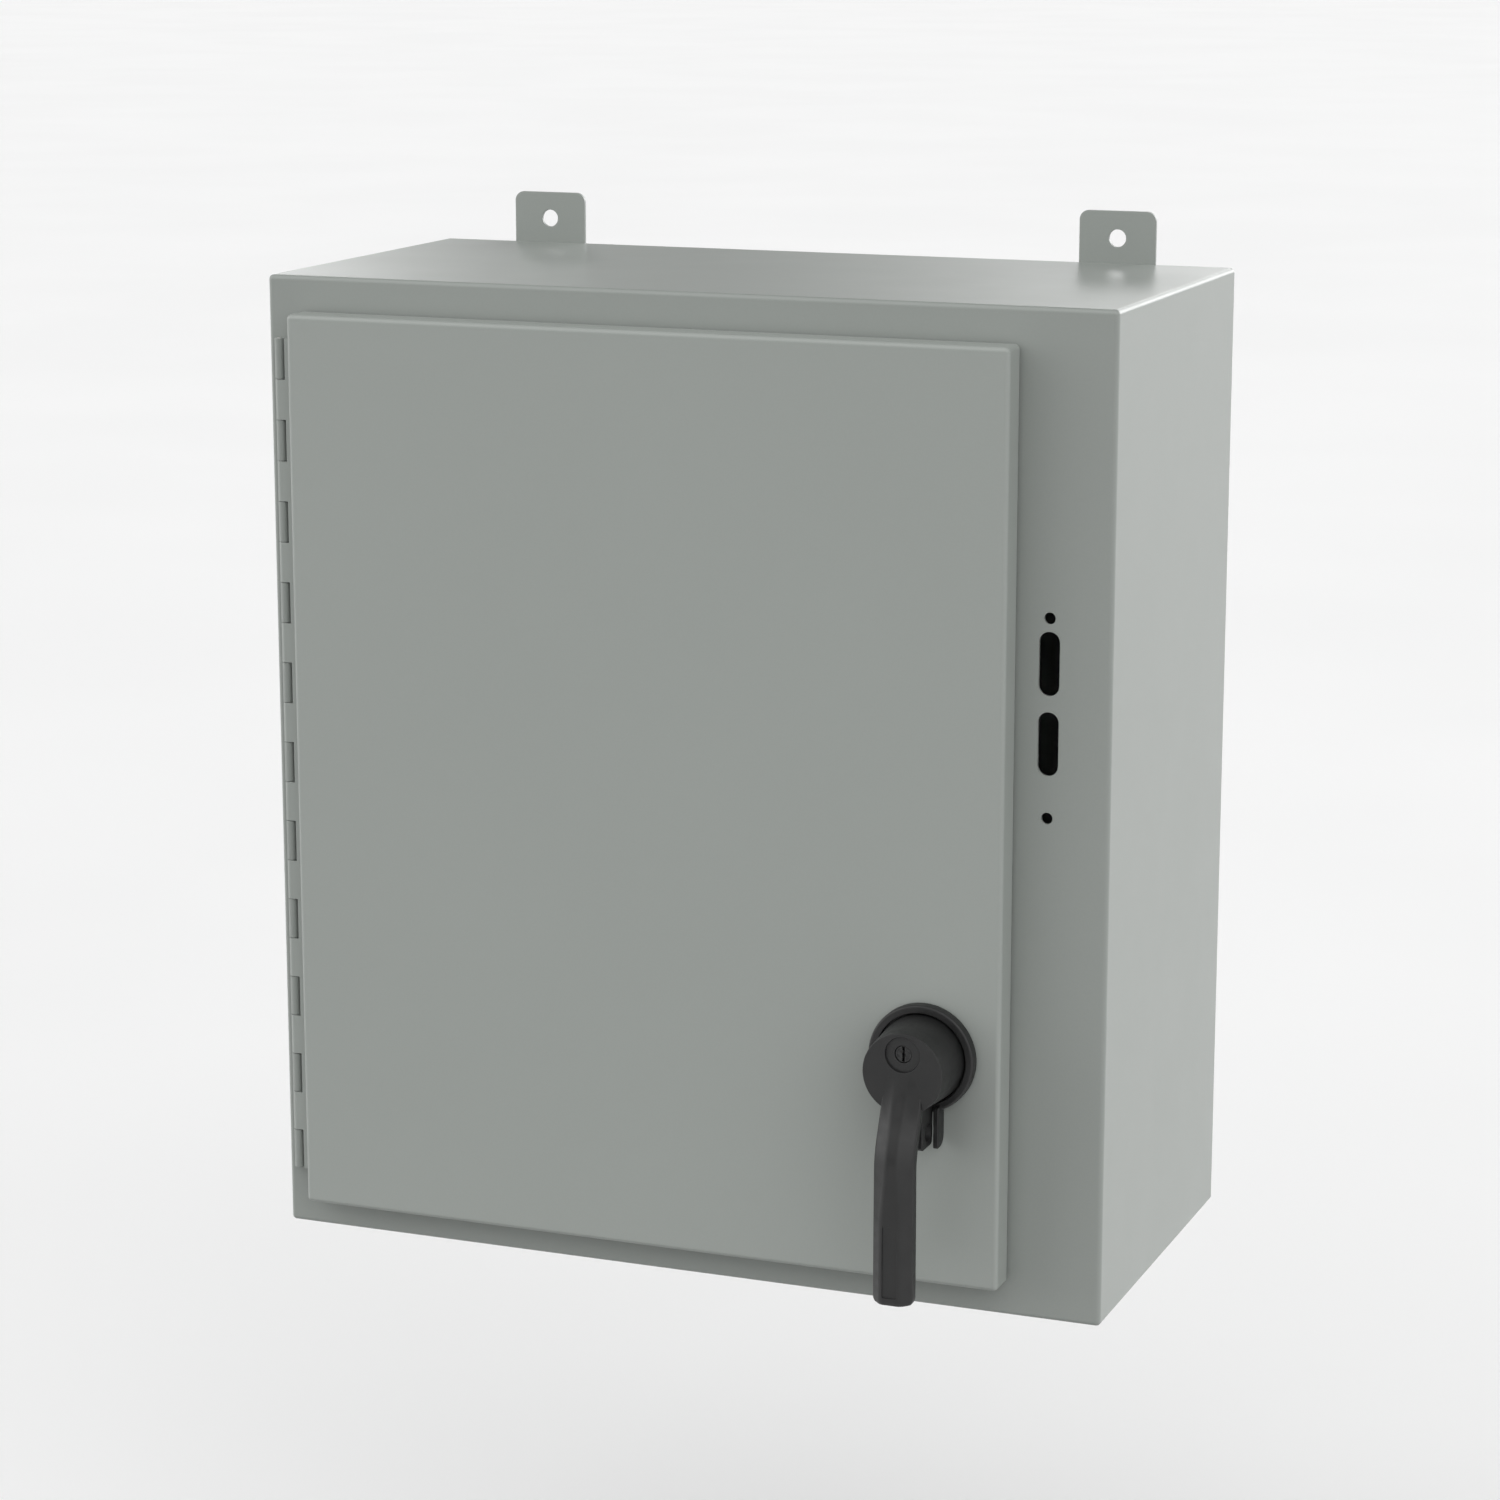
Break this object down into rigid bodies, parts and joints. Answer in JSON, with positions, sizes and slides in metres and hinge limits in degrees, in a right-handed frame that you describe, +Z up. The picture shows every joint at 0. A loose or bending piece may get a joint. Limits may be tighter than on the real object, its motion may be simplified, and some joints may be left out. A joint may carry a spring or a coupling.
{
  "type": "wall-mount steel enclosure",
  "caption": "Wall-mount sheet steel enclosure with hinged door, padlockable lever handle, rod latch and a flange cut out for a switch operator.",
  "frame": {"origin": "middle of the four wall holes, on the wall plane at the back of the feet", "axes": "+Z up, +X to the right of a person facing the door, +Y towards the wall"},
  "size_m": [0.543, 0.3387, 0.6756],
  "materials": {
    "grey_paint": "satin light grey polyester powder coat with fine orange peel",
    "white_paint": "semi-gloss white powder coat",
    "zinc_steel": "bright zinc plate",
    "gasket_rubber": "closed cell foam, matte",
    "handle_plastic": "satin black glass-filled nylon with fine texture",
    "pocket_plastic": "smooth moulded plastic",
    "roller_nylon": "natural nylon",
    "lock_metal": "blackened die-cast zinc"
  },
  "bodies": {
    "enclosure": {"body_wrap": "grey_paint", "front_flange": "grey_paint", "back_sheet": "grey_paint", "upper_left_foot": "grey_paint", "upper_right_foot": "grey_paint", "lower_left_foot": "grey_paint", "lower_right_foot": "grey_paint", "hinge_body_leaf": "grey_paint", "hinge_pin": "zinc_steel", "collar_studs": "zinc_steel", "equipment_panel": "white_paint", "panel_washers": "zinc_steel", "panel_nuts": "zinc_steel", "body_ground_stud": "zinc_steel", "body_ground_nut": "zinc_steel"},
    "door": {"door_panel": "grey_paint", "hinge_door_leaf": "grey_paint", "door_gasket": "gasket_rubber", "gasket_strips": "zinc_steel", "door_stiffener": "grey_paint", "document_pocket": "pocket_plastic", "door_ground_stud": "zinc_steel", "door_ground_nut": "zinc_steel", "handle_escutcheon": "handle_plastic", "escutcheon_gasket": "gasket_rubber", "escutcheon_screws": "zinc_steel", "shaft_bushing": "zinc_steel", "upper_rod_guide": "zinc_steel", "lower_rod_guide": "zinc_steel"},
    "handle": {"handle_lever": "handle_plastic", "handle_shaft": "zinc_steel", "latch_cam": "zinc_steel", "cam_pins": "zinc_steel", "cam_washer": "zinc_steel", "cam_nut": "zinc_steel"},
    "lock": {"key_cylinder": "lock_metal"},
    "upper_rod": {"upper_latch_rod": "zinc_steel", "upper_roller_pin": "zinc_steel"},
    "upper_roller": {"upper_roller": "roller_nylon"},
    "lower_rod": {"lower_latch_rod": "zinc_steel", "lower_roller_pin": "zinc_steel"},
    "lower_roller": {"lower_roller": "roller_nylon"}
  },
  "joints": [
    {"name": "door_swing", "type": "hinge", "parent": "enclosure", "child": "door", "pos_m": [-0.2625, -0.2601, 0], "axis": [0, 0, -1], "range_deg": [0, 180]},
    {"name": "handle_turn", "type": "hinge", "parent": "door", "child": "handle", "pos_m": [0.1665, -0.2967, -0.1408], "axis": [0, 1, 0], "range_deg": [0, 90]},
    {"name": "key_turn", "type": "hinge", "parent": "handle", "child": "lock", "pos_m": [0.1665, -0.3067, -0.1292], "axis": [0, 1, 0], "range_deg": [0, 90]},
    {"name": "upper_rod_slide", "type": "slide", "parent": "door", "child": "upper_rod", "axis": [0, 0, -1], "range_m": [0, 0.02828]},
    {"name": "lower_rod_slide", "type": "slide", "parent": "door", "child": "lower_rod", "axis": [0, 0, 1], "range_m": [0, 0.02828]},
    {"name": "upper_roller_spin", "type": "hinge", "parent": "upper_rod", "child": "upper_roller", "pos_m": [0.1741, -0.248, 0.2772], "axis": [1, 0, 0], "continuous": true},
    {"name": "lower_roller_spin", "type": "hinge", "parent": "lower_rod", "child": "lower_roller", "pos_m": [0.1589, -0.248, -0.2772], "axis": [1, 0, 0], "continuous": true}
  ],
  "couplings": [
    {"joint": "upper_rod_slide", "follows": "handle_turn", "m_per_rad": 0.018006},
    {"joint": "lower_rod_slide", "follows": "handle_turn", "m_per_rad": 0.018006}
  ]
}
